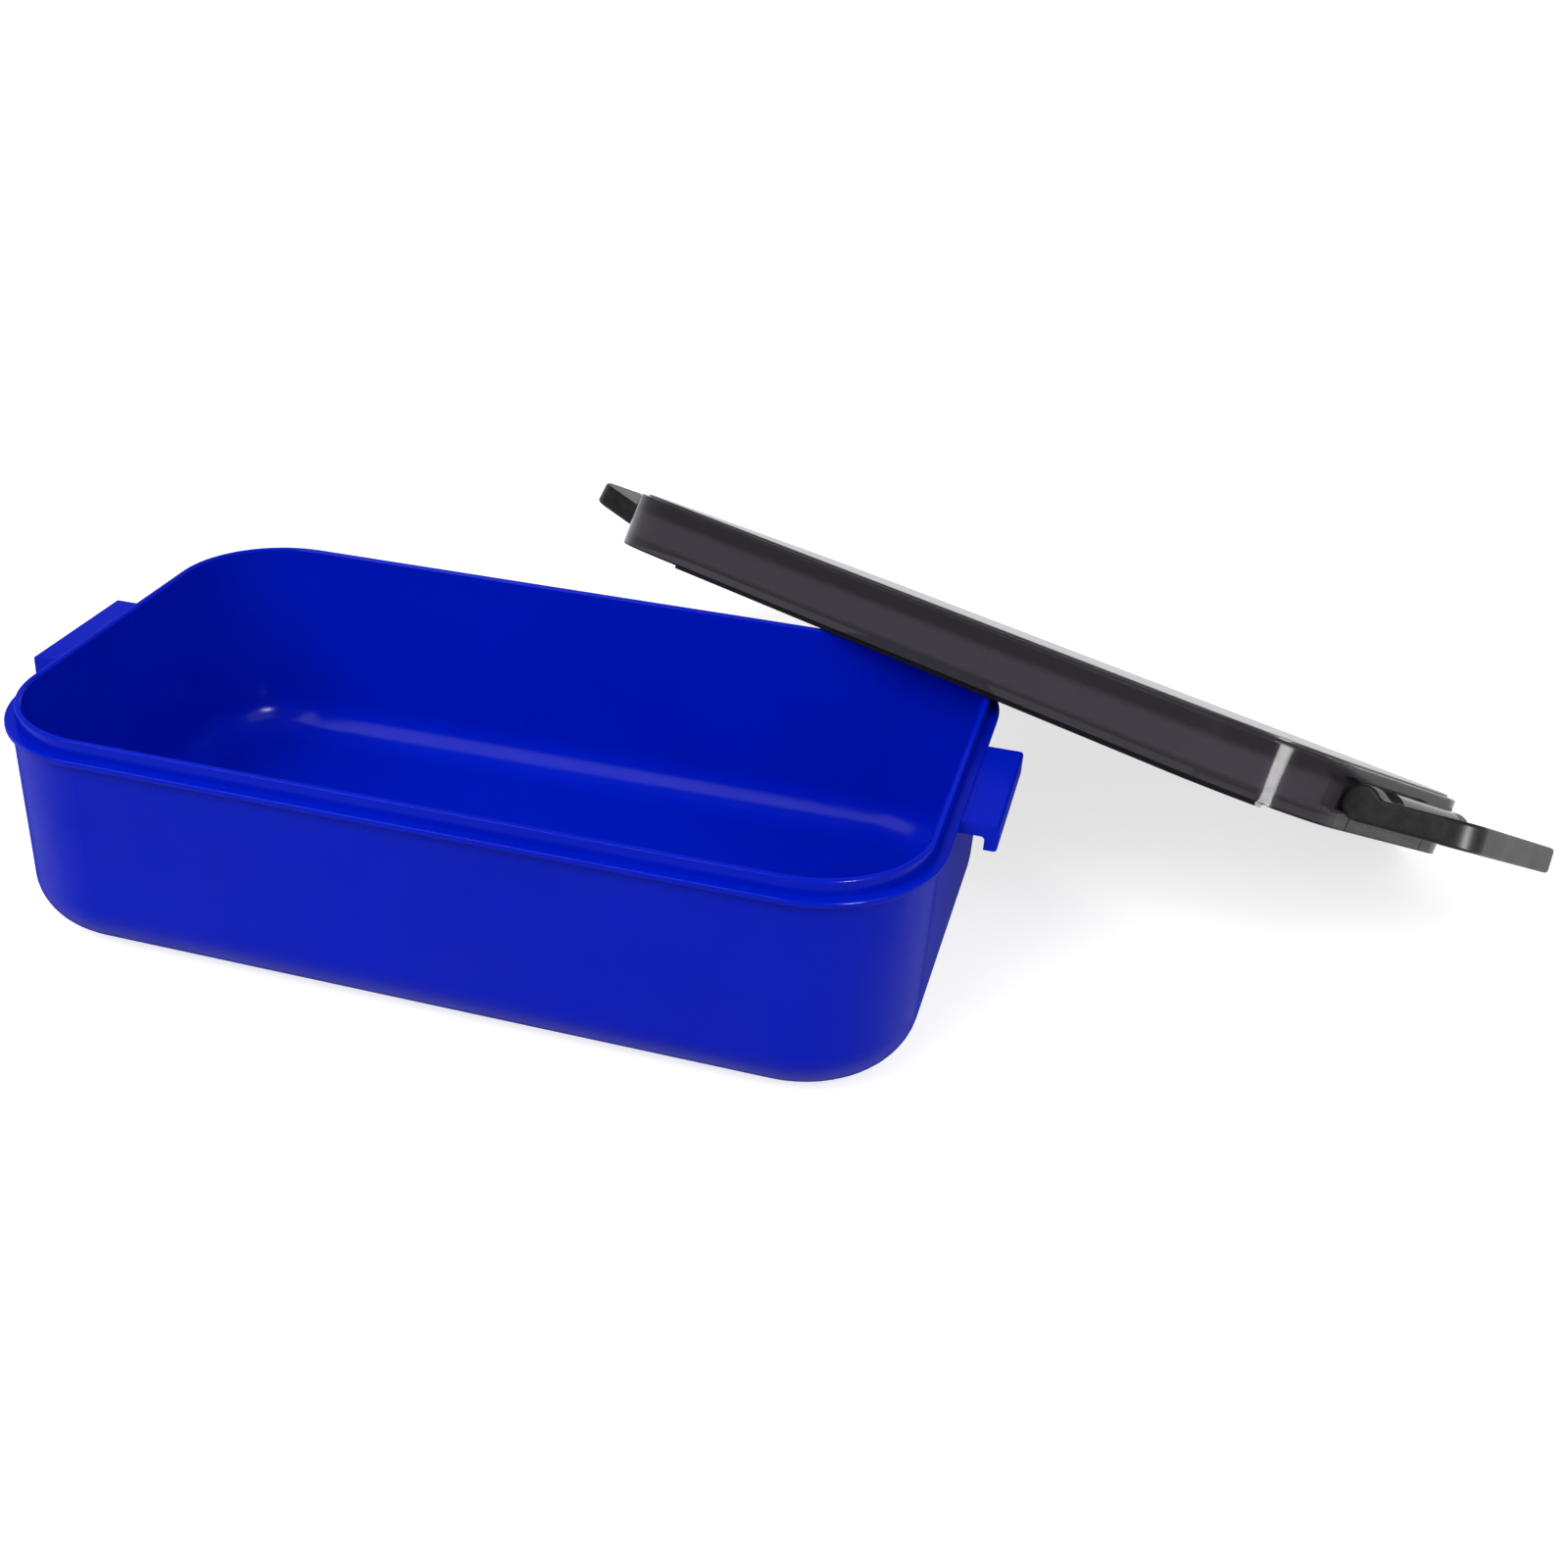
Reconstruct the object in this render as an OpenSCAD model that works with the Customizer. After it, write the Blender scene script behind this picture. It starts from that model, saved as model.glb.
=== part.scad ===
// Lunch box: a moulded container with a catch at each end, and a lid with a seal and two hinged clips.
// The container stands on Z = 0. The lid is off and leans with one long edge on the container's rim.

/* [Container] */
// Length over the rim flange
box_l = 235; // [205:1:270]
// Width over the rim flange
box_w = 137; // [120:1:160]
// Height from the base to the top of the lip
box_h = 59.5; // [48:0.5:72]
// Corner radius of the rim flange, seen from above
corner_r = 31.5; // [27:0.5:36]
// Thickness of the side wall
wall_t = 2.8; // [2.2:0.1:3.2]
// Thickness of the floor
floor_t = 2.4; // [1.6:0.1:4]
// How far the wall leans in from the rim to the base, on each side
draft = 1.3; // [0.5:0.1:2.5]
// Radius where the wall turns into the base
base_r = 13; // [9:0.5:16]

/* [Rim] */
// Height of the lip over the flange
lip_h = 3.85; // [3:0.05:4.2]
// Thickness of the lip
lip_t = 1.65; // [1.3:0.05:2]
// Thickness of the flange
flange_t = 1.65; // [1.2:0.05:3]
// How far the flange stands out from the wall
flange_out = 1.6; // [1.2:0.1:2]
// Radius on the edges of the rim
rim_edge_r = 0.5; // [0.3:0.05:0.6]

/* [Catches] */
// Width of the catch on each end of the container
catch_w = 40; // [25:1:54]
// How far a catch reaches past the flange
catch_out = 8.9; // [7.5:0.1:8.9]
// Thickness of a catch and of its turned-down lip
catch_t = 3.2; // [2:0.1:3.6]
// Height of a catch over its turned-down lip
catch_h = 6.6; // [5.6:0.1:7]
// Step from the top of the flange down to the top of a catch
catch_drop = 0.4; // [0.2:0.1:1]

/* [Lid] */
// Height of the lid's side wall
lid_h = 15.85; // [15:0.05:22]
// Thickness of the lid
lid_t = 1.8; // [1.5:0.05:2]
// Step in from the side wall to the raised top panel
panel_in = 2.45; // [1.5:0.05:6]
// Height of the raised top panel over the side wall
panel_h = 0.55; // [0.4:0.05:1]
// Radius on the lid's top edge
lid_edge_r = 0.9; // [0.5:0.1:1.2]
// Depth of the tongue below the lid's side wall
tongue_h = 0.8; // [0.5:0.1:1]
// Step in from the side wall to the tongue
tongue_in = 0.6; // [0.4:0.1:0.8]
// Height of the step over the tongue
tongue_step = 0.5; // [0.3:0.1:1]
// Thickness of the inner wall that goes into the container
plug_t = 1.2; // [1:0.1:1.5]
// Height of the foot of the inner wall over the foot of the side wall
plug_z = 2.1; // [2:0.1:2.6]
// Thickness of the ribs between the side wall and the inner wall
rib_t = 1.2; // [0.8:0.1:2]
// Largest distance between two ribs
rib_pitch = 26; // [18:1:40]

/* [Hinge] */
// Height of the hinge axis over the foot of the lid's side wall
pivot_z = 8.15; // [7.9:0.05:8.5]
// Distance of the hinge axis from the end of the lid
pivot_out = 3.7; // [3.4:0.05:4]
// Radius of the hinge barrel and of the clip's bosses
barrel_r = 4.7; // [4.2:0.1:4.8]
// Height of the band below the pocket in the lid's end wall
band_h = 4.6; // [4.2:0.1:4.8]
// Depth of the pocket in the lid's end wall
pocket_d = 1.5; // [1.3:0.05:1.6]
// Radius of the hinge pins
pin_r = 2; // [1.2:0.1:2.6]
// Length of a hinge pin in its bore
pin_l = 6; // [4:0.5:9]
// Length of the collar on one of the pins
collar_l = 11; // [6:0.5:16]
// Radius of the collar
collar_r = 3.2; // [2.8:0.1:3.9]

/* [Clips] */
// Width of a clip
clip_w = 73; // [66:1:74]
// Length of a clip from the hinge axis to its tip
clip_l = 28; // [25:0.1:32]
// Thickness of the clip's plate and walls
clip_t = 1.8; // [1.4:0.1:2]
// Height of the plate's outer face over the hinge axis
plate_z = 1.97; // [1.8:0.01:2.2]
// Radius of the clip's corners, seen from above
clip_corner_r = 8; // [4:0.5:12]
// Length of the bosses on the hinge axis
boss_l = 7; // [5:0.5:9]
// Radius of the neck between boss and plate
neck_r = 3; // [2:0.1:4]
// Angle of the right clip above the lid
right_clip_up = 7; // [0:1:30]
// Angle of the left clip above the lid
left_clip_up = 10; // [0:1:30]

/* [Lid at rest] */
// Turn of the lid, seen from above
lid_turn = 28; // [20:1:36]
// How far the lid's near edge lies inside the rim's corner, square to that edge
lid_inside = 29.4; // [26:0.1:32]
// How far the middle of that edge lies to the left of the rim's corner, along the edge
lid_shift = 22.3; // [10:0.1:35]

/* [Fits] */
// Gap between pieces that move past each other
run_gap = 0.5; // [0.3:0.05:0.6]
// Gap where the leaning lid rests on the rim and on the table
seat_gap = 0.25; // [0.15:0.05:0.3]
// Play of the hinge pins in their bores, on the radius
pin_play = 0.05; // [0.02:0.01:0.1]
// Gap round the seal in its channel
seal_gap = 0.1; // [0.05:0.01:0.2]
// Gap between the container's lip and the lid's inner wall
plug_gap = 0.7; // [0.4:0.05:0.8]
// Gap between a closed clip's rib and the catch
hook_gap = 0.3; // [0.2:0.05:0.5]

/* [Hidden] */
$fn = 96;
cut = 1;
weld = 0.1;

// Container
flange_top = box_h - lip_h;
flange_low = flange_top - flange_t;
lip_in = flange_out + wall_t - lip_t;
cavity_in = flange_out + wall_t;
wall_foot = corner_r - flange_out - draft;
catch_top = flange_top - catch_drop;
catch_edge_r = 0.9;

// Lid
lid_top = lid_h + panel_h;
lid_ceiling = lid_top - lid_t;
plug_in = cavity_in + plug_gap;
seal_z = lip_h - tongue_h + seal_gap / 2;
seal_in = lip_in - seal_gap;
straight_l = box_l - 2 * corner_r;
straight_w = box_w - 2 * corner_r;
tongue_short = 7.5;
notch_start = 13;
notch_angle = 29;
notch_h = 2.3;
notch_d = 0.9;
tongue_past = 3;

// Hinge
ledge_z = pivot_z + barrel_r + run_gap;
boss_in = clip_w / 2 - boss_l;
barrel_from = -boss_in + collar_l + run_gap;
barrel_to = boss_in - run_gap;
web_h = 6;
groove_y = 28.5;
groove_w = 0.5;
groove_d = 0.4;
end_wall_past = 7;
end_foot_h = 1.2;

// Clips
plate_from = barrel_r + run_gap;
cheek_more = 0.4;
cheek_t = clip_t + cheek_more;
neck_z = plate_z + neck_r;
neck_x = sqrt(pow(barrel_r + neck_r, 2) - pow(neck_z, 2));
catch_reach = catch_out - pivot_out;
catch_foot = pivot_z - (catch_top - catch_h - flange_top - tongue_h);
rib_from = sqrt(pow(catch_reach, 2) + pow(catch_foot, 2)) + hook_gap;
rib_side_gap = 2;
rib_w = catch_w - 2 * rib_side_gap;

// Lid at rest: one tongue's inner edge is over the lip, the other tongue's outer edge over the table
lid_tilt = asin(box_h / (box_w - tongue_in - lid_t));
lid_back = box_w / 2 * cos(lid_tilt) - lid_inside;
lid_x = box_l / 2 + sin(lid_turn) * lid_back - cos(lid_turn) * lid_shift;
lid_y = box_w / 2 + cos(lid_turn) * lid_back + sin(lid_turn) * lid_shift;
lid_z = seat_gap + (box_w / 2 - tongue_in) * sin(lid_tilt) + tongue_h * cos(lid_tilt);

// Outline of the rim, moved in by inset
module outline(inset) {
  r = corner_r - inset;
  square([box_l - 2 * corner_r, box_w - 2 * inset], center = true);
  square([box_l - 2 * inset, box_w - 2 * corner_r], center = true);
  for (x = [-1, 1], y = [-1, 1])
    translate([x * straight_l / 2, y * straight_w / 2]) circle(r);
}

// Slab of the rim's outline, moved in by inset, from one height to another
module slab(inset, low, high) {
  translate([0, 0, low]) linear_extrude(high - low) outline(inset);
}

// Ring between two insets
module ring(outer, inner, low, high) {
  difference() {
    slab(outer, low, high);
    slab(inner, low - cut, high + cut);
  }
}

// Carries a profile round the rim. The profile's x runs outwards from the centre of a corner.
module round_rim() {
  for (x = [0, 1], y = [0, 1])
    mirror([x, 0, 0]) mirror([0, y, 0])
      translate([straight_l / 2, straight_w / 2, 0]) rotate_extrude(angle = 90) children();
  for (x = [0, 1])
    mirror([x, 0, 0]) translate([straight_l / 2, straight_w / 2, 0])
      rotate([90, 0, 0]) linear_extrude(straight_w) children();
  for (y = [0, 1])
    mirror([0, y, 0]) translate([-straight_l / 2, straight_w / 2, 0])
      rotate([90, 0, 90]) linear_extrude(straight_l) children();
}

// Block inside the four corner centres
module core(low, high) {
  translate([-straight_l / 2, -straight_w / 2, low]) cube([straight_l, straight_w, high - low]);
}

// Half section of a bowl: a flat base, a round of radius r and a wall that leans out to top_x
module bowl_profile(foot_x, foot_z, top_x, top_z, r) {
  lean = atan((top_x - foot_x) / (top_z - foot_z));
  centre_x = foot_x - r * (1 - sin(lean)) / cos(lean);
  polygon([
    [0, foot_z],
    [centre_x, foot_z],
    [centre_x + r * cos(lean), foot_z + r - r * sin(lean)],
    [top_x, top_z],
    [0, top_z],
  ]);
  translate([centre_x, foot_z + r]) circle(r);
}

// Square profile from x = 0 to x, with both outer corners rounded
module edge_profile(x, low, high, r) {
  translate([0, low]) square([x - r, high - low]);
  translate([0, low + r]) square([x, high - low - 2 * r]);
  for (z = [low + r, high - r]) translate([x - r, z]) circle(r);
}

module container_profile() {
  bowl_profile(wall_foot, 0, corner_r - flange_out, flange_low + weld, base_r);
  edge_profile(corner_r, flange_low, flange_top, rim_edge_r);
  translate([0, flange_low]) square([corner_r - lip_in, flange_t + rim_edge_r]);
  edge_profile(corner_r - lip_in, flange_top - rim_edge_r, box_h, rim_edge_r);
}

module cavity_profile() {
  inner_top = corner_r - cavity_in;
  inner_foot = inner_top - draft * (flange_low - floor_t) / flange_low;
  bowl_profile(inner_foot, floor_t, inner_top, flange_low, base_r - wall_t);
  translate([0, flange_low - weld]) square([inner_top, lip_h + flange_t + cut]);
  polygon([
    [0, box_h - rim_edge_r],
    [inner_top, box_h - rim_edge_r],
    [inner_top + rim_edge_r + weld, box_h + weld],
    [0, box_h + weld],
  ]);
}

// Catch on the container's right end: a plate with a turned-down lip
module catch_profile() {
  outer_x = box_l / 2 + catch_out;
  root_x = box_l / 2 - flange_out - wall_t / 2;
  inner_x = outer_x - catch_t;
  plate_low = catch_top - catch_t;
  difference() {
    union() {
      translate([root_x, plate_low]) square([outer_x - catch_edge_r - root_x, catch_t]);
      translate([inner_x, catch_top - catch_h + catch_edge_r])
        square([catch_t, catch_h - 2 * catch_edge_r]);
      translate([inner_x, catch_top - catch_h]) square([catch_t - catch_edge_r, catch_edge_r]);
      for (z = [catch_top - catch_edge_r, catch_top - catch_h + catch_edge_r])
        translate([outer_x - catch_edge_r, z]) circle(catch_edge_r);
      translate([inner_x - catch_edge_r, plate_low - catch_edge_r])
        square([catch_edge_r + weld, catch_edge_r + weld]);
    }
    translate([inner_x - catch_edge_r, plate_low - catch_edge_r]) circle(catch_edge_r);
  }
}

module catches() {
  for (x = [0, 1])
    mirror([x, 0, 0]) translate([0, catch_w / 2, 0])
      rotate([90, 0, 0]) linear_extrude(catch_w) catch_profile();
}

module container() {
  color("blue") {
    difference() {
      union() {
        round_rim() container_profile();
        core(0, box_h);
      }
      round_rim() cavity_profile();
      core(floor_t, box_h + cut);
    }
    catches();
  }
}

module lid_profile() {
  panel_x = corner_r - panel_in;
  edge_r = panel_h / 2;
  square([corner_r - lid_edge_r, lid_h]);
  square([corner_r, lid_h - lid_edge_r]);
  translate([corner_r - lid_edge_r, lid_h - lid_edge_r]) circle(lid_edge_r);
  square([panel_x - edge_r, lid_top]);
  square([panel_x, lid_top - edge_r]);
  translate([panel_x - edge_r, lid_top - edge_r]) circle(edge_r);
}

// Ribs that bridge the channel between the side wall and the inner wall, and back the seal
module ribs() {
  rib_h = lid_ceiling + weld - band_h;
  rib_l = plug_in - lid_t + 2 * weld;
  along = floor(straight_l / rib_pitch);
  across = floor(straight_w / rib_pitch);
  for (i = [0 : along], y = [-1, 1])
    translate([straight_l * (i / along - 0.5), y * (box_w / 2 - lid_t - rib_l / 2 + weld), 0])
      translate([-rib_t / 2, -rib_l / 2, band_h]) cube([rib_t, rib_l, rib_h]);
  for (i = [0 : across], x = [-1, 1])
    translate([x * (box_l / 2 - lid_t - rib_l / 2 + weld), straight_w * (i / across - 0.5), 0])
      translate([-rib_l / 2, -rib_t / 2, band_h]) cube([rib_l, rib_t, rib_h]);
}

// Tongue under a long edge, which runs on under one corner, and the step over it
module tongue_path(inner, outer, low, high) {
  from_x = -straight_l / 2 + tongue_short;
  translate([from_x, -box_w / 2 + outer, low])
    cube([straight_l / 2 - from_x, inner - outer, high - low]);
  translate([straight_l / 2, -straight_w / 2, low]) rotate([0, 0, -90])
    rotate_extrude(angle = notch_start + notch_angle + tongue_past)
      translate([corner_r - inner, 0]) square([inner - outer, high - low]);
}

// Shallow notch in the side wall's foot at that corner, for a fingertip
module finger_notch() {
  translate([straight_l / 2, -straight_w / 2, -cut]) rotate([0, 0, notch_start - 90])
    rotate_extrude(angle = notch_angle)
      translate([corner_r - notch_d, 0]) square([notch_d + cut, notch_h + cut]);
}

// Wall behind the hinge pocket, with the foot that ties it to the band below
module end_wall() {
  wall_x = box_l / 2 - pocket_d - lid_t;
  half_y = straight_w / 2 + end_wall_past;
  translate([wall_x, -half_y, band_h]) cube([lid_t, 2 * half_y, lid_ceiling + weld - band_h]);
  foot_x = box_l / 2 - seal_in + seal_gap;
  translate([foot_x, -half_y, band_h - end_foot_h])
    cube([box_l / 2 - lid_t + weld - foot_x, 2 * half_y, end_foot_h + weld]);
}

module end_pocket() {
  translate([box_l / 2 - pocket_d, -box_w / 2, band_h])
    cube([pocket_d + cut, box_w, ledge_z - band_h]);
  for (y = [-groove_y, groove_y])
    translate([box_l / 2 - groove_d, y - groove_w / 2, -cut])
      cube([groove_d + cut, groove_w, band_h + 2 * cut]);
}

// Barrel on the end wall, with a bore for a pin at each end
module barrel() {
  translate([box_l / 2 + pivot_out, 0, pivot_z]) difference() {
    union() {
      translate([0, barrel_from, 0]) rotate([-90, 0, 0]) cylinder(r = barrel_r, h = barrel_to - barrel_from);
      translate([-pivot_out - pocket_d - weld, barrel_from, -web_h / 2])
        cube([pivot_out + pocket_d + weld, barrel_to - barrel_from, web_h]);
    }
    for (end = [[barrel_from, 1], [barrel_to, -1]])
      translate([0, end[0] - end[1] * cut, 0]) rotate([-90 * end[1], 0, 0])
        cylinder(r = pin_r + pin_play, h = pin_l + run_gap + cut);
  }
}

// The lid in its own frame: centred on the outline, with the foot of its side wall at Z = 0
module lid_body() {
  difference() {
    union() {
      difference() {
        union() {
          round_rim() lid_profile();
          core(0, lid_top);
        }
        slab(lid_t, -cut, lid_ceiling);
      }
      ring(plug_in, plug_in + plug_t, plug_z, lid_ceiling + weld);
      ribs();
      for (a = [0, 180]) rotate([0, 0, a]) {
        end_wall();
        tongue_path(lid_t, tongue_in, -tongue_h, weld);
      }
    }
    for (a = [0, 180]) rotate([0, 0, a]) {
      end_pocket();
      finger_notch();
      tongue_path(tongue_in, -cut, -cut, tongue_step);
    }
  }
  for (a = [0, 180]) rotate([0, 0, a]) barrel();
}

// Puts something made in the lid's frame where the lid rests
module at_lid() {
  translate([lid_x, lid_y, lid_z]) rotate([0, 0, -lid_turn]) rotate([-lid_tilt, 0, 0]) children();
}

module lid() {
  color("dimgray") at_lid() lid_body();
}

module lid_seal() {
  color("silver") at_lid() ring(seal_in, plug_in - seal_gap, seal_z, band_h);
}

// Outline of the clip from above, with round corners at the tip
module clip_outline(inset, from_x, half_w) {
  r = clip_corner_r - inset;
  to_x = clip_l - inset;
  translate([from_x, -half_w]) square([to_x - r - from_x, 2 * half_w]);
  translate([from_x, -half_w + r]) square([to_x - from_x, 2 * half_w - 2 * r]);
  for (y = [-1, 1]) translate([to_x - r, y * (half_w - r)]) circle(r);
}

// Boss on the hinge axis, with the neck that runs into the plate
module boss_profile() {
  circle(barrel_r);
  difference() {
    polygon([[0, 0], [neck_x, neck_z], [neck_x, 0]]);
    translate([neck_x, neck_z]) circle(neck_r);
  }
}

// Pin on a boss, from the boss's inner face towards the middle
module pin(length) {
  rotate([90, 0, 0]) cylinder(r = pin_r, h = length);
}

// The clip in its own frame: hinge axis on Y, plate along +X
module clip_body() {
  difference() {
    union() {
      translate([0, 0, -barrel_r]) linear_extrude(barrel_r + plate_z) clip_outline(0, 0, clip_w / 2);
      for (y = [clip_w / 2, -boss_in])
        translate([0, y, 0]) rotate([90, 0, 0]) linear_extrude(boss_l) boss_profile();
    }
    translate([0, 0, -barrel_r - cut]) linear_extrude(barrel_r + cut + plate_z - clip_t)
      clip_outline(clip_t, plate_from, clip_w / 2 - cheek_t);
    translate([-cut, -boss_in, -barrel_r - cut])
      cube([plate_from + cut, 2 * boss_in, barrel_r + plate_z + 2 * cut]);
  }
  translate([rib_from, -rib_w / 2, hook_gap - barrel_r])
    cube([clip_t, rib_w, barrel_r - hook_gap + plate_z - clip_t + weld]);
  translate([0, boss_in + weld, 0]) pin(pin_l + run_gap + weld);
  mirror([0, 1, 0]) translate([0, boss_in + weld, 0]) {
    pin(collar_l + run_gap + pin_l + weld);
    rotate([90, 0, 0]) cylinder(r = collar_r, h = collar_l + weld);
  }
}

module clip_at(side, up) {
  at_lid() rotate([0, 0, side]) translate([box_l / 2 + pivot_out, 0, pivot_z])
    rotate([0, -up, 0]) clip_body();
}

module left_clip() {
  color("black") clip_at(180, left_clip_up);
}

module right_clip() {
  color("black") clip_at(0, right_clip_up);
}

container();
lid();
lid_seal();
left_clip();
right_clip();
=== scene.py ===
"""Looks of the lunch box: a blue container, with its smoky grey lid leaning on the rim."""

import math

import bpy
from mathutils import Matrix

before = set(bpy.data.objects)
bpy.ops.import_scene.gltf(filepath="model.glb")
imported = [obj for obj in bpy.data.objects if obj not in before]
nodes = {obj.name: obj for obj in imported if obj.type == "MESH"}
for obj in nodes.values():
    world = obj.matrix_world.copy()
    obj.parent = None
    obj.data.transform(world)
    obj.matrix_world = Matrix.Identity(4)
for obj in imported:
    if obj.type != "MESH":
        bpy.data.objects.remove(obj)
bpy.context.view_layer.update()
scene = bpy.context.scene

# Camera: the photograph's view, fitted to the rim, the base and the lid
IMAGE_SIZE = 1600
FOCAL_PX = 1964.8
CENTRE_PX = (680, 800)
CAMERA_PLACE = (0.15823, -0.41092, 0.27127)
CAMERA_TURN = (61.5295, -2.1629, 17.1155)
SENSOR_MM = 36.0

# Colours, as linear light
BLUE = (0.0000, 0.0100, 0.44, 1)
BLUE_DEEP = (0.0000, 0.0080, 0.40, 1)
SMOKE = (0.096, 0.084, 0.104, 1)
# The next two colours are painted shade: the lid's side wall darkened towards its foot, and the strip under
# it darker still
SMOKE_LOW_PAINTED_SHADE = (0.060, 0.055, 0.066, 1)
SMOKE_FOOT_PAINTED_SHADE = (0.012, 0.011, 0.014, 1)
SMOKE_EDGE = (0.046, 0.042, 0.050, 1)
SMOKE_PANEL = (0.076, 0.073, 0.081, 1)
CLIP_BLACK = (0.0050, 0.0050, 0.0056, 1)
CLIP_GREY = (0.0150, 0.0146, 0.0160, 1)
SILICONE = (0.42, 0.43, 0.44, 1)
SILICONE_DEEP = (0.37, 0.38, 0.39, 1)
FLOOR_GREY = (0.5, 0.5, 0.5, 1)
WHITE = (1, 1, 1, 1)

# Plastics: clouds and grain in waves per metre, the grain's depth in metres
BLUE_LOOK = {
    "colours": (BLUE, BLUE_DEEP),
    "cloud_scale": 18,
    "roughness": (0.16, 0.22),
    "specular": 0.0,
    "grain_scale": 350,
    "grain_m": 0.00001,
}
SILICONE_LOOK = {
    "colours": (SILICONE, SILICONE_DEEP),
    "cloud_scale": 40,
    "roughness": (0.5, 0.6),
    "specular": 0.4,
    "grain_scale": 3000,
    "grain_m": 0.00001,
}
CLIP_LOOK = {
    "colours": (CLIP_BLACK, CLIP_GREY),
    "cloud_scale": 420,
    "roughness": (0.34, 0.44),
    "specular": 0.12,
    "grain_scale": 1500,
    "grain_m": 0.00003,
}
BLUE_COAT = {"ior": 1.15, "roughness": 0.18}
PANEL_COAT = {"ior": 1.4, "roughness": 0.3}
LID_IOR = 1.12
LID_CLEARNESS = 0.62
LID_ROUGHNESS = (0.09, 0.42)
LID_GRAIN = {"scale": 350, "depth_m": 0.000004}
GRAIN_STRENGTH = 0.25

# How the blue coat fades: its weight goes from low to high as the look goes from start to end, where 0 is
# square to the surface and 1 is along it
COAT_FADE = {"low": 1.0, "high": 0.1, "start": 0.5, "end": 0.85}

# Noise: detail and roughness, and before them the smears' waves per metre
SMEARS = (55, 6, 0.6)
CLOUDS = (3, 0.55)
GRAIN = (2, 0.5)

# Soft boxes: azimuth and elevation in degrees, distance and size in metres, power in watts
LAMP_TARGET = (0.06, 0.05, 0.03)
KEY_LAMP = {"azimuth": -35, "elevation": 45, "distance": 1.6, "size": (1.2, 1.0), "power": 20}
FILL_LAMP = {"azimuth": 60, "elevation": 35, "distance": 1.6, "size": (0.9, 0.9), "power": 8}
STRIP_LAMP = {"azimuth": 45, "elevation": 7, "distance": 1.4, "size": (0.24, 0.8), "power": 85}

# How much dimmer than white the world is overhead in the gloss, the heights of a direction between which it
# dims, and how much dimmer it is as light on the object
CEILING_DIM = 0.75
CEILING_FROM, CEILING_FULL = 0.10, 0.45
DIFFUSE_DIM = 0.45

# The floor: its size and how far it lies under the container, in metres, and its white to the camera
FLOOR_SIZE = 30
FLOOR_DROP = 0.0002
FLOOR_GLOW = 0.72

# The leaning lid's own height direction and the point its heights are measured from, in metres
LID_UP = (0.20753, 0.39031, 0.89699)
LID_ORIGIN = (0.112854, 0.107262, 0.030983)
MM_PER_M = 1000

# The lid's colour by height over the foot of its side wall, and where its panel starts, in millimetres; the
# colours below 4 mm darken the side wall towards its foot with painted shade
LID_SPAN = (-1.0, 17.0)
PANEL_STEP = (16.0, 16.3)
LID_COLOURS = [
    (-0.8, SMOKE_FOOT_PAINTED_SHADE),
    (0.3, SMOKE_FOOT_PAINTED_SHADE),
    (0.6, SMOKE_LOW_PAINTED_SHADE),
    (3.0, SMOKE_LOW_PAINTED_SHADE),
    (4.0, SMOKE),
    (10.0, SMOKE),
    (11.8, SMOKE_EDGE),
    (PANEL_STEP[0], SMOKE_EDGE),
    (PANEL_STEP[1], SMOKE_PANEL),
]

# The clips' hinge line and a point on each hinge, in metres
HINGE_AXIS = (0.421111, 0.791995, -0.442051)
LEFT_HINGE = (0.007532, 0.167343, 0.038293)
RIGHT_HINGE = (0.221559, 0.053543, 0.038293)

# Where a clip's round corners start, along the hinge and out from it, and the least radius of its outer
# walls there, in metres
CORNER_ALONG = 0.0285
CORNER_OUT = 0.0202
CORNER_RADIUS = 0.0070

# Rounding of edges: widths in metres, the shading and rim angles in radians, the others in degrees
CLIP_EDGE = 0.0009
SEAL_EDGE = 0.0002
EDGE_SEGMENTS = 3
EDGE_ANGLE = 32
FLAT_ANGLE = 0.3
CREASE_ANGLE = 0.6
RIM_ANGLE = 1.0
WELD_DISTANCE = 0.000002


def new_material(name):
    """A material with an empty Principled shader; returns it with its node tree and shader."""
    material = bpy.data.materials.new(name)
    material.use_nodes = True
    tree = material.node_tree
    return material, tree, tree.nodes["Principled BSDF"]


def set_inputs(tree, node, values):
    """Sets numbers on a node's inputs in their order, and links sockets to them."""
    for socket, value in zip(node.inputs, values):
        if isinstance(value, bpy.types.NodeSocket):
            tree.links.new(value, socket)
        else:
            socket.default_value = value


def calc(tree, operation, *values):
    """The result of a math node."""
    node = tree.nodes.new("ShaderNodeMath")
    node.operation = operation
    set_inputs(tree, node, values)
    return node.outputs["Value"]


def calc_vector(tree, operation, *values, result="Vector"):
    """The result of a vector math node, as a vector or a value."""
    node = tree.nodes.new("ShaderNodeVectorMath")
    node.operation = operation
    set_inputs(tree, node, values)
    return node.outputs[result]


def add_noise(tree, scale, detail, rough):
    """Noise over the object's own coordinates, in metres."""
    place = tree.nodes.new("ShaderNodeTexCoord")
    noise = tree.nodes.new("ShaderNodeTexNoise")
    noise.inputs["Scale"].default_value = scale
    noise.inputs["Detail"].default_value = detail
    noise.inputs["Roughness"].default_value = rough
    tree.links.new(place.outputs["Object"], noise.inputs["Vector"])
    return noise.outputs["Fac"]


def add_range(tree, value, low, high, start=0.3, end=0.7):
    """Maps a value between start and end to a range; the defaults are where noise mostly lies."""
    ramp = tree.nodes.new("ShaderNodeMapRange")
    ramp.inputs["From Min"].default_value = start
    ramp.inputs["From Max"].default_value = end
    ramp.inputs["To Min"].default_value = low
    ramp.inputs["To Max"].default_value = high
    tree.links.new(value, ramp.inputs["Value"])
    return ramp.outputs["Result"]


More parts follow.
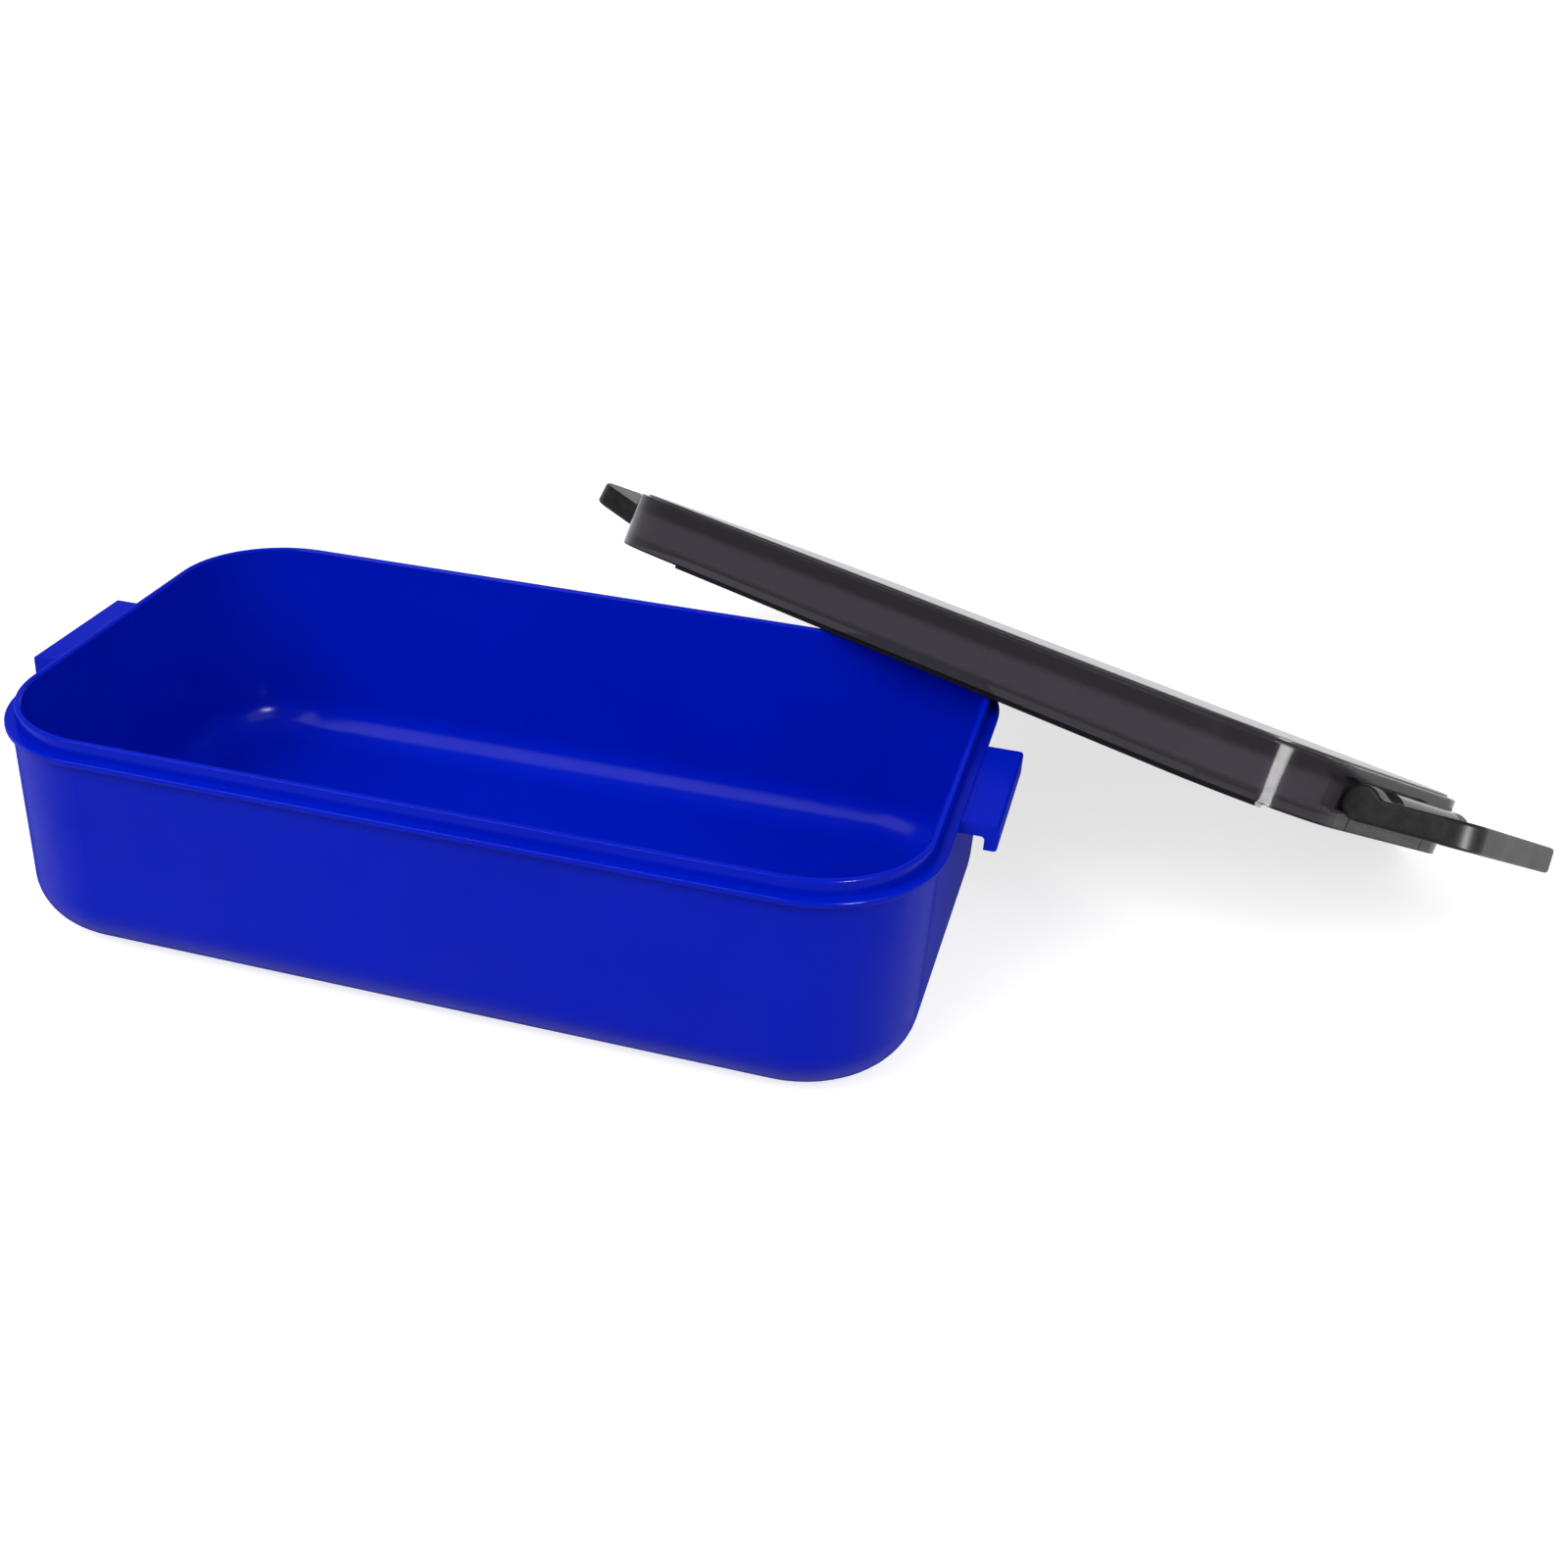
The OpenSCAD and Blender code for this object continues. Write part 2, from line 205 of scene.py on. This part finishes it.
def add_mix(tree, share, first, second):
    """Mixes two colours by a share."""
    mix = tree.nodes.new("ShaderNodeMix")
    mix.data_type = "RGBA"
    mix.inputs["A"].default_value = first
    mix.inputs["B"].default_value = second
    tree.links.new(share, mix.inputs["Factor"])
    return mix.outputs["Result"]


def add_grain(tree, shader, scale, depth_m):
    """A fine mould grain in the shader's normal."""
    bump = tree.nodes.new("ShaderNodeBump")
    bump.inputs["Strength"].default_value = GRAIN_STRENGTH
    bump.inputs["Distance"].default_value = depth_m
    tree.links.new(add_noise(tree, scale, *GRAIN), bump.inputs["Height"])
    tree.links.new(bump.outputs["Normal"], shader.inputs["Normal"])


def add_smears(tree, low, high):
    """Faint large smears between two values."""
    return add_range(tree, add_noise(tree, *SMEARS), low, high)


def add_coat(tree, shader, weight, ior, roughness):
    """A second gloss over the shader's own, where the weight puts it."""
    tree.links.new(weight, shader.inputs["Coat Weight"])
    shader.inputs["Coat IOR"].default_value = ior
    shader.inputs["Coat Roughness"].default_value = roughness


def fading_gloss(tree):
    """A coat's weight that is uneven over the surface and fades at a grazing look."""
    look = tree.nodes.new("ShaderNodeLayerWeight")
    look.inputs["Blend"].default_value = 0.5
    facing = add_range(tree, look.outputs["Facing"], **COAT_FADE)
    return calc(tree, "MULTIPLY", facing, add_smears(tree, 0.8, 1.0))


def moulded_plastic(name, colours, cloud_scale, roughness, specular, grain_scale, grain_m):
    """Moulded plastic: faint flow clouds in the colour, uneven roughness and a fine mould grain."""
    material, tree, shader = new_material(name)
    clouds = add_range(tree, add_noise(tree, cloud_scale, *CLOUDS), 0, 1)
    tree.links.new(add_mix(tree, clouds, *colours), shader.inputs["Base Color"])
    tree.links.new(add_smears(tree, *roughness), shader.inputs["Roughness"])
    shader.inputs["Specular IOR Level"].default_value = specular
    add_grain(tree, shader, grain_scale, grain_m)
    return material


def blue_plastic():
    """Blue plastic whose only gloss is a coat."""
    material = moulded_plastic("blue_plastic", **BLUE_LOOK)
    tree = material.node_tree
    add_coat(tree, tree.nodes["Principled BSDF"], fading_gloss(tree), **BLUE_COAT)
    return material


def lid_height(tree):
    """Height over the foot of the lid's side wall, in millimetres."""
    place = tree.nodes.new("ShaderNodeTexCoord").outputs["Object"]
    away = calc_vector(tree, "SUBTRACT", place, LID_ORIGIN)
    return calc_vector(tree, "DOT_PRODUCT", away, [MM_PER_M * c for c in LID_UP], result="Value")


def smoky_plastic():
    """Dark see-through plastic with painted shade along the foot, denser along the panel's solid edge,
    satin on the panel.
    """
    material, tree, shader = new_material("smoky_plastic")
    height = lid_height(tree)
    low, high = LID_SPAN
    ramp = tree.nodes.new("ShaderNodeValToRGB")
    while len(ramp.color_ramp.elements) < len(LID_COLOURS):
        ramp.color_ramp.elements.new(0.5)
    for element, (at, colour) in zip(ramp.color_ramp.elements, LID_COLOURS):
        element.position = (at - low) / (high - low)
        element.color = colour
    tree.links.new(add_range(tree, height, 0, 1, low, high), ramp.inputs["Fac"])
    tree.links.new(ramp.outputs["Color"], shader.inputs["Base Color"])
    tree.links.new(add_range(tree, height, *LID_ROUGHNESS, *PANEL_STEP), shader.inputs["Roughness"])
    add_coat(tree, shader, add_range(tree, height, 0, 1, *PANEL_STEP), **PANEL_COAT)
    shader.inputs["IOR"].default_value = LID_IOR
    shader.inputs["Transmission Weight"].default_value = LID_CLEARNESS
    add_grain(tree, shader, **LID_GRAIN)
    return material


def mesh_nodes(name, kind):
    """A geometry node group that holds one node of a kind; returns the group and the node."""
    tree = bpy.data.node_groups.new(name, "GeometryNodeTree")
    for in_out in ("INPUT", "OUTPUT"):
        tree.interface.new_socket("Geometry", in_out=in_out, socket_type="NodeSocketGeometry")
    node = tree.nodes.new(kind)
    tree.links.new(tree.nodes.new("NodeGroupInput").outputs[0], node.inputs["Geometry"])
    tree.links.new(node.outputs["Geometry"], tree.nodes.new("NodeGroupOutput").inputs[0])
    return tree, node


def is_sharp(tree, radians):
    """Whether an edge's angle is more than this."""
    angle = tree.nodes.new("GeometryNodeInputMeshEdgeAngle").outputs["Unsigned Angle"]
    return calc(tree, "GREATER_THAN", angle, radians)


def crease_marker():
    """Marks the edges that stay sharp for the shading."""
    tree, smooth = mesh_nodes("creases", "GeometryNodeSetShadeSmooth")
    smooth.domain = "EDGE"
    smooth.inputs["Shade Smooth"].default_value = False
    tree.links.new(is_sharp(tree, CREASE_ANGLE), smooth.inputs["Selection"])
    return tree


def rim_picker(name, pivot):
    """Weighs the sharp edges on the outer walls of the clip that turns at the pivot, for its bevel."""
    tree, store = mesh_nodes(name, "GeometryNodeStoreNamedAttribute")
    ends = tree.nodes.new("GeometryNodeInputMeshEdgeVertices")
    reaches = []
    for end in ("Position 1", "Position 2"):
        arm = calc_vector(tree, "SUBTRACT", ends.outputs[end], pivot)
        along = calc_vector(tree, "DOT_PRODUCT", arm, HINGE_AXIS, result="Value")
        across = calc_vector(tree, "CROSS_PRODUCT", arm, HINGE_AXIS)
        out = calc_vector(tree, "LENGTH", across, result="Value")
        past_side = calc(tree, "SUBTRACT", calc(tree, "ABSOLUTE", along), CORNER_ALONG)
        past_side = calc(tree, "MAXIMUM", past_side, 0.0)
        past_tip = calc(tree, "MAXIMUM", calc(tree, "SUBTRACT", out, CORNER_OUT), 0.0)
        squares = calc(tree, "MULTIPLY", past_tip, past_tip)
        squares = calc(tree, "MULTIPLY_ADD", past_side, past_side, squares)
        reaches.append(calc(tree, "SQRT", squares))
    outer = calc(tree, "GREATER_THAN", calc(tree, "MINIMUM", *reaches), CORNER_RADIUS)
    store.domain = "EDGE"
    store.inputs["Name"].default_value = "bevel_weight_edge"
    tree.links.new(calc(tree, "MULTIPLY", outer, is_sharp(tree, RIM_ANGLE)), store.inputs["Value"])
    return tree


def dress(name, material):
    """Gives a CAD node its material."""
    nodes[name].data.materials.clear()
    nodes[name].data.materials.append(material)


def soften(name, bevel_m, creases, rim=None):
    """Rounds the sharp edges of a CAD node, or only those on its rim, over its own mesh."""
    modifiers = nodes[name].modifiers
    weld = modifiers.new("weld", "WELD")
    weld.merge_threshold = WELD_DISTANCE
    flat = modifiers.new("flat", "DECIMATE")
    flat.decimate_type = "DISSOLVE"
    flat.angle_limit = math.radians(FLAT_ANGLE)
    if rim:
        modifiers.new("rim", "NODES").node_group = rim
    bevel = modifiers.new("edges", "BEVEL")
    bevel.width = bevel_m
    bevel.segments = EDGE_SEGMENTS
    bevel.limit_method = "WEIGHT" if rim else "ANGLE"
    bevel.angle_limit = math.radians(EDGE_ANGLE)
    bevel.use_clamp_overlap = False
    modifiers.new("creases", "NODES").node_group = creases
    normals = modifiers.new("normals", "WEIGHTED_NORMAL")
    normals.mode = "FACE_AREA"
    normals.keep_sharp = True


def make_camera():
    """The photograph's camera."""
    data = bpy.data.cameras.new("camera")
    data.sensor_width = SENSOR_MM
    data.lens = FOCAL_PX / IMAGE_SIZE * SENSOR_MM
    data.shift_x = 0.5 - CENTRE_PX[0] / IMAGE_SIZE
    data.shift_y = CENTRE_PX[1] / IMAGE_SIZE - 0.5
    data.clip_start, data.clip_end = 0.01, 50
    camera = bpy.data.objects.new("camera", data)
    camera.location = CAMERA_PLACE
    camera.rotation_euler = [math.radians(a) for a in CAMERA_TURN]
    scene.collection.objects.link(camera)
    scene.camera = camera


def area_light(name, azimuth, elevation, distance, size, power):
    """A soft box at an angle round the target: azimuth 0 is in front of the box, 90 to its right."""
    data = bpy.data.lights.new(name, "AREA")
    data.shape = "RECTANGLE"
    data.size, data.size_y = size
    data.energy = power
    light = bpy.data.objects.new(name, data)
    a, e = math.radians(azimuth), math.radians(elevation)
    back = (math.sin(a) * math.cos(e), -math.cos(a) * math.cos(e), math.sin(e))
    light.location = [t + distance * b for t, b in zip(LAMP_TARGET, back)]
    light.rotation_euler = (math.radians(90 - elevation), 0, math.radians(azimuth))
    scene.collection.objects.link(light)
    return light


def white_to_camera(tree, shader_out, strength):
    """Adds white light that only the camera, gloss and glass see, so that the ground looks white."""
    path = tree.nodes.new("ShaderNodeLightPath")
    seen = path.outputs["Is Camera Ray"]
    for ray in ("Is Glossy Ray", "Is Transmission Ray"):
        seen = calc(tree, "MAXIMUM", seen, path.outputs[ray])
    glow = tree.nodes.new("ShaderNodeEmission")
    glow.inputs["Color"].default_value = WHITE
    tree.links.new(calc(tree, "MULTIPLY", seen, strength), glow.inputs["Strength"])
    both = tree.nodes.new("ShaderNodeAddShader")
    tree.links.new(shader_out, both.inputs[0])
    tree.links.new(glow.outputs["Emission"], both.inputs[1])
    return both.outputs["Shader"]


def make_floor():
    """A plain pale floor that keeps the object's shadow."""
    bpy.ops.mesh.primitive_plane_add(size=FLOOR_SIZE, location=(0, 0, -FLOOR_DROP))
    floor = bpy.context.object
    floor.name = "floor"
    material, tree, shader = new_material("floor_white")
    shader.inputs["Base Color"].default_value = FLOOR_GREY
    shader.inputs["Roughness"].default_value = 1
    shader.inputs["Specular IOR Level"].default_value = 0
    surface = white_to_camera(tree, shader.outputs["BSDF"], FLOOR_GLOW)
    tree.links.new(surface, tree.nodes["Material Output"].inputs["Surface"])
    floor.data.materials.append(material)


def make_world():
    """A white studio: white all round to the camera and glass, with a dimmer ceiling in the gloss."""
    world = bpy.data.worlds.new("studio")
    scene.world = world
    world.use_nodes = True
    tree = world.node_tree
    light = tree.nodes["Background"]
    light.inputs["Color"].default_value = WHITE
    path = tree.nodes.new("ShaderNodeLightPath")
    place = tree.nodes.new("ShaderNodeTexCoord")
    height = tree.nodes.new("ShaderNodeSeparateXYZ")
    tree.links.new(place.outputs["Generated"], height.inputs["Vector"])
    ceiling = add_range(tree, height.outputs["Z"], 0.0, CEILING_DIM, CEILING_FROM, CEILING_FULL)
    dim = calc(tree, "MULTIPLY", ceiling, path.outputs["Is Glossy Ray"])
    dim = calc(tree, "MULTIPLY_ADD", path.outputs["Is Diffuse Ray"], DIFFUSE_DIM, dim)
    tree.links.new(calc(tree, "SUBTRACT", 1.0, dim), light.inputs["Strength"])


def dress_all():
    """Gives every CAD node its material."""
    clip_plastic = moulded_plastic("black_plastic", **CLIP_LOOK)
    dress("container", blue_plastic())
    dress("lid", smoky_plastic())
    dress("lid_seal", moulded_plastic("silicone", **SILICONE_LOOK))
    dress("left_clip", clip_plastic)
    dress("right_clip", clip_plastic)


def soften_all():
    """Rounds the seal's edges and the outer edges of the clips."""
    creases = crease_marker()
    soften("lid_seal", SEAL_EDGE, creases)
    soften("left_clip", CLIP_EDGE, creases, rim_picker("left_rim", LEFT_HINGE))
    soften("right_clip", CLIP_EDGE, creases, rim_picker("right_rim", RIGHT_HINGE))


make_camera()
make_world()
make_floor()
area_light("key", **KEY_LAMP)
area_light("fill", **FILL_LAMP)
area_light("strip", **STRIP_LAMP).visible_diffuse = False
dress_all()
soften_all()

scene.view_settings.view_transform = "Standard"
